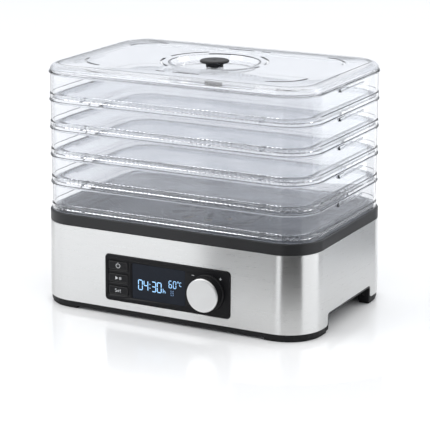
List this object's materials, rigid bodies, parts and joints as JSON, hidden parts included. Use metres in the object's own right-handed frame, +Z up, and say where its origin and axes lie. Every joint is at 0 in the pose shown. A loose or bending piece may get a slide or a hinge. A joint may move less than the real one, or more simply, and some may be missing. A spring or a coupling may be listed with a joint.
{
  "type": "food dehydrator",
  "caption": "Countertop food dehydrator: steel heater base with dial and display, clear stacking trays and a vented clear lid with a knob.",
  "frame": {"origin": "on the table, under the middle of the whole footprint", "axes": "+Z up, the control panel faces -Y, +X to the right of a person facing the panel"},
  "size_m": [0.3386, 0.243, 0.277],
  "materials": {
    "steel": "brushed, horizontal grain",
    "dark_plastic": "fine satin",
    "panel_black": "satin gloss",
    "display": "smooth tinted window",
    "clear_plastic": "clear moulded, faint blue tint",
    "rubber": "matt",
    "dial_silver": "satin turned",
    "knob_black": "fine matt",
    "inner_plastic": "moulded",
    "component_black": "moulded",
    "board": "solder mask",
    "zinc": "plated",
    "mica": "pressed sheet",
    "heater_wire": "oxidised wire",
    "fan_plastic": "moulded"
  },
  "bodies": {
    "base": {"steel_housing": "steel", "top_trim_ring": "dark_plastic", "base_deck": "dark_plastic", "air_outlet_grille": "dark_plastic", "bottom_pan": "dark_plastic", "foot_front_left": "rubber", "foot_front_right": "rubber", "foot_rear_left": "rubber", "foot_rear_right": "rubber", "control_panel": "panel_black", "display_window": "display", "lcd_module": "component_black", "control_board": "board", "power_switch": "component_black", "start_pause_switch": "component_black", "set_switch": "component_black", "encoder_body": "zinc", "fan_duct": "inner_plastic", "fan_motor": "zinc", "motor_screw_1": "zinc", "motor_screw_2": "zinc", "heater_frame": "mica", "heater_coil": "heater_wire", "thermal_cutout": "component_black", "temperature_sensor": "zinc", "power_board": "board", "transformer": "component_black", "heater_relay": "component_black", "mains_capacitor": "zinc", "cord_gland": "dark_plastic", "base_screw_1": "zinc", "base_screw_2": "zinc", "base_screw_3": "zinc", "base_screw_4": "zinc"},
    "power_key": {"power_button": "panel_black"},
    "start_pause_key": {"start_pause_button": "panel_black"},
    "set_key": {"set_button": "panel_black"},
    "dial": {"dial_cap": "dial_silver", "dial_skirt": "dark_plastic", "encoder_shaft": "zinc"},
    "fan": {"motor_shaft": "zinc", "fan_impeller": "fan_plastic"},
    "tray_1": {"tray_1": "clear_plastic"},
    "tray_2": {"tray_2": "clear_plastic"},
    "tray_3": {"tray_3": "clear_plastic"},
    "tray_4": {"tray_4": "clear_plastic"},
    "tray_5": {"tray_5": "clear_plastic"},
    "lid": {"lid": "clear_plastic", "lid_knob": "knob_black", "lid_knob_screw": "zinc"}
  },
  "joints": [
    {"name": "power_press", "type": "slide", "parent": "base", "child": "power_key", "axis": [0, 1, 0], "range_m": [0, 0.0005], "stiffness_N_per_m": 400, "springref_m": -0.001},
    {"name": "start_pause_press", "type": "slide", "parent": "base", "child": "start_pause_key", "axis": [0, 1, 0], "range_m": [0, 0.0005], "stiffness_N_per_m": 400, "springref_m": -0.001},
    {"name": "set_press", "type": "slide", "parent": "base", "child": "set_key", "axis": [0, 1, 0], "range_m": [0, 0.0005], "stiffness_N_per_m": 400, "springref_m": -0.001},
    {"name": "dial_turn", "type": "hinge", "parent": "base", "child": "dial", "pos_m": [0.051, -0.1145, 0.044], "axis": [0, -1, 0], "continuous": true},
    {"name": "fan_spin", "type": "hinge", "parent": "base", "child": "fan", "pos_m": [0, 0.0055, 0.066], "axis": [0, 0, 1], "continuous": true},
    {"name": "tray_1_lift", "type": "slide", "parent": "base", "child": "tray_1", "axis": [0, 0, 1], "range_m": [0, 0.05]},
    {"name": "tray_2_lift", "type": "slide", "parent": "tray_1", "child": "tray_2", "axis": [0, 0, 1], "range_m": [0, 0.05]},
    {"name": "tray_3_lift", "type": "slide", "parent": "tray_2", "child": "tray_3", "axis": [0, 0, 1], "range_m": [0, 0.05]},
    {"name": "tray_4_lift", "type": "slide", "parent": "tray_3", "child": "tray_4", "axis": [0, 0, 1], "range_m": [0, 0.05]},
    {"name": "tray_5_lift", "type": "slide", "parent": "tray_4", "child": "tray_5", "axis": [0, 0, 1], "range_m": [0, 0.05]},
    {"name": "lid_lift", "type": "slide", "parent": "tray_5", "child": "lid", "axis": [0, 0, 1], "range_m": [0, 0.05]}
  ]
}
